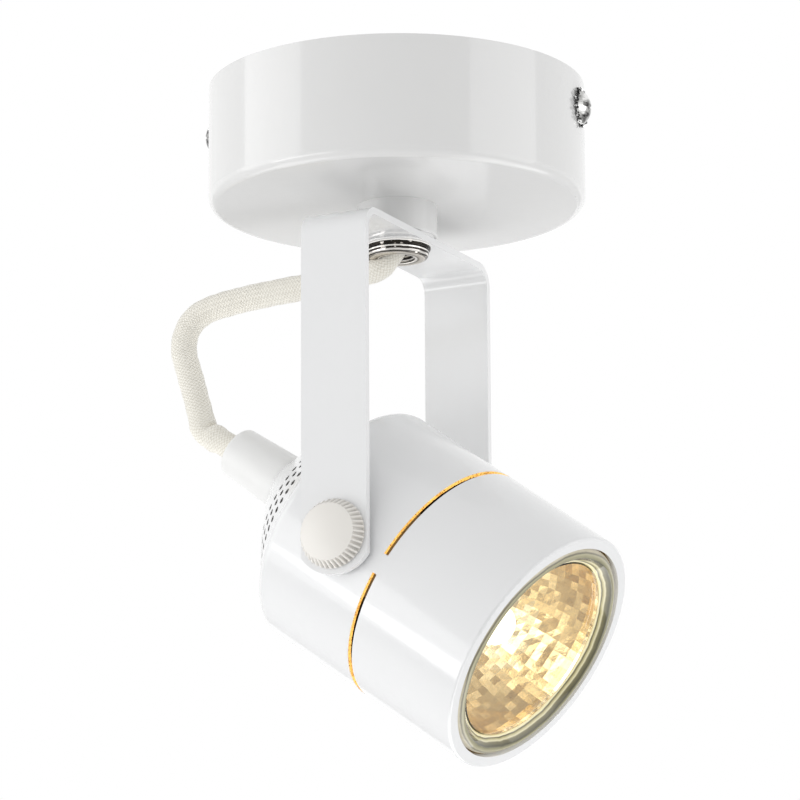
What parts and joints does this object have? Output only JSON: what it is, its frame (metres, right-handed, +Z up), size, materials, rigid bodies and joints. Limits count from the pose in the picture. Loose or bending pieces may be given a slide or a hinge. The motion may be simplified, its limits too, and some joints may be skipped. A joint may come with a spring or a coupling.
{
  "type": "surface mounted ceiling spotlight",
  "caption": "Ceiling spotlight: round canopy with a swivelling yoke and a tilting cylinder head holding a reflector lamp, fed by a braided cord.",
  "frame": {"origin": "on the ceiling, at the middle of the round canopy and midway between the two slots for its ceiling screws", "axes": "+Z up, towards the ceiling; +X along the line of the ceiling slots and of the two side screws; the lamp hangs down -Z and at rest shines towards +X and down"},
  "size_m": [0.1029, 0.082, 0.1503],
  "materials": {
    "white_paint": "gloss white enamel",
    "nickel": "bright nickel plate",
    "dark_zinc": "dark oxide",
    "zinc_steel": "dull zinc plate",
    "clear_nylon": "natural nylon",
    "cream_plastic": "satin moulded, off-white",
    "terminal_plastic": "satin moulded",
    "braid": "woven cream sleeve",
    "silicone_sleeve": "matt sleeve",
    "brown_insulation": "satin insulation",
    "blue_insulation": "satin insulation",
    "green_insulation": "satin insulation, green and yellow",
    "brass": "bright brass",
    "ceramic": "unglazed ceramic",
    "warm_mirror": "faceted coated reflector",
    "clear_glass": "clear",
    "filament": "tungsten"
  },
  "bodies": {
    "canopy": {"ceiling_bracket": "zinc_steel", "canopy_cover": "white_paint", "canopy_screws": "nickel", "canopy_star_washers": "dark_zinc", "threaded_nipple": "nickel", "stem_spacer": "white_paint", "swivel_ring_nut": "nickel", "inner_lock_washer": "dark_zinc", "inner_locknut": "nickel", "swivel_upper_washer": "clear_nylon", "swivel_lower_washer": "nickel", "cord_grip": "clear_nylon", "cord_grip_screw": "clear_nylon", "canopy_cord": "braid", "terminal_block": "terminal_plastic", "terminal_clamps": "brass", "terminal_screws": "nickel", "terminal_fixing_screw": "nickel", "earth_screw": "brass", "earth_tag": "brass", "wire_live": "brown_insulation", "wire_neutral": "blue_insulation", "wire_earth": "green_insulation"},
    "yoke": {"yoke_bracket": "white_paint", "lamp_cord": "braid"},
    "head": {"head_housing": "white_paint", "rear_vent_cap": "white_paint", "rear_boot": "cream_plastic", "boot_locknut": "cream_plastic", "pivot_bushes": "cream_plastic", "pivot_washers": "clear_nylon", "lampholder_bracket": "zinc_steel", "lampholder": "ceramic", "lampholder_screws": "nickel", "lampholder_contacts": "brass", "head_cord": "braid", "lampholder_wires": "silicone_sleeve"},
    "knob_front": {"front_knob": "cream_plastic", "front_knob_stud": "nickel"},
    "knob_rear": {"rear_knob": "cream_plastic", "rear_knob_stud": "nickel"},
    "lamp": {"lamp_base": "ceramic", "lamp_pins": "nickel", "lamp_reflector": "warm_mirror", "lamp_front_glass": "clear_glass", "lamp_capsule": "clear_glass", "lamp_filament": "filament"}
  },
  "joints": [
    {"name": "yoke_swivel", "type": "hinge", "parent": "canopy", "child": "yoke", "pos_m": [0, 0, -0.0347], "axis": [0, 0, 1], "range_deg": [-170, 170]},
    {"name": "head_tilt", "type": "hinge", "parent": "yoke", "child": "head", "pos_m": [0, 0, -0.1046], "axis": [0.1908, 0.9816, 0], "range_deg": [-35, 55], "deforming": ["lamp_cord"]},
    {"name": "front_knob_turn", "type": "hinge", "parent": "head", "child": "knob_front", "pos_m": [0, 0, -0.1046], "axis": [-0.1908, -0.9816, 0], "range_deg": [0, 180]},
    {"name": "rear_knob_turn", "type": "hinge", "parent": "head", "child": "knob_rear", "pos_m": [0, 0, -0.1046], "axis": [0.1908, 0.9816, 0], "range_deg": [0, 180]},
    {"name": "lamp_twist", "type": "hinge", "parent": "head", "child": "lamp", "pos_m": [0, 0, -0.1046], "axis": [0.8002, -0.1555, -0.5793], "range_deg": [0, 17]}
  ]
}
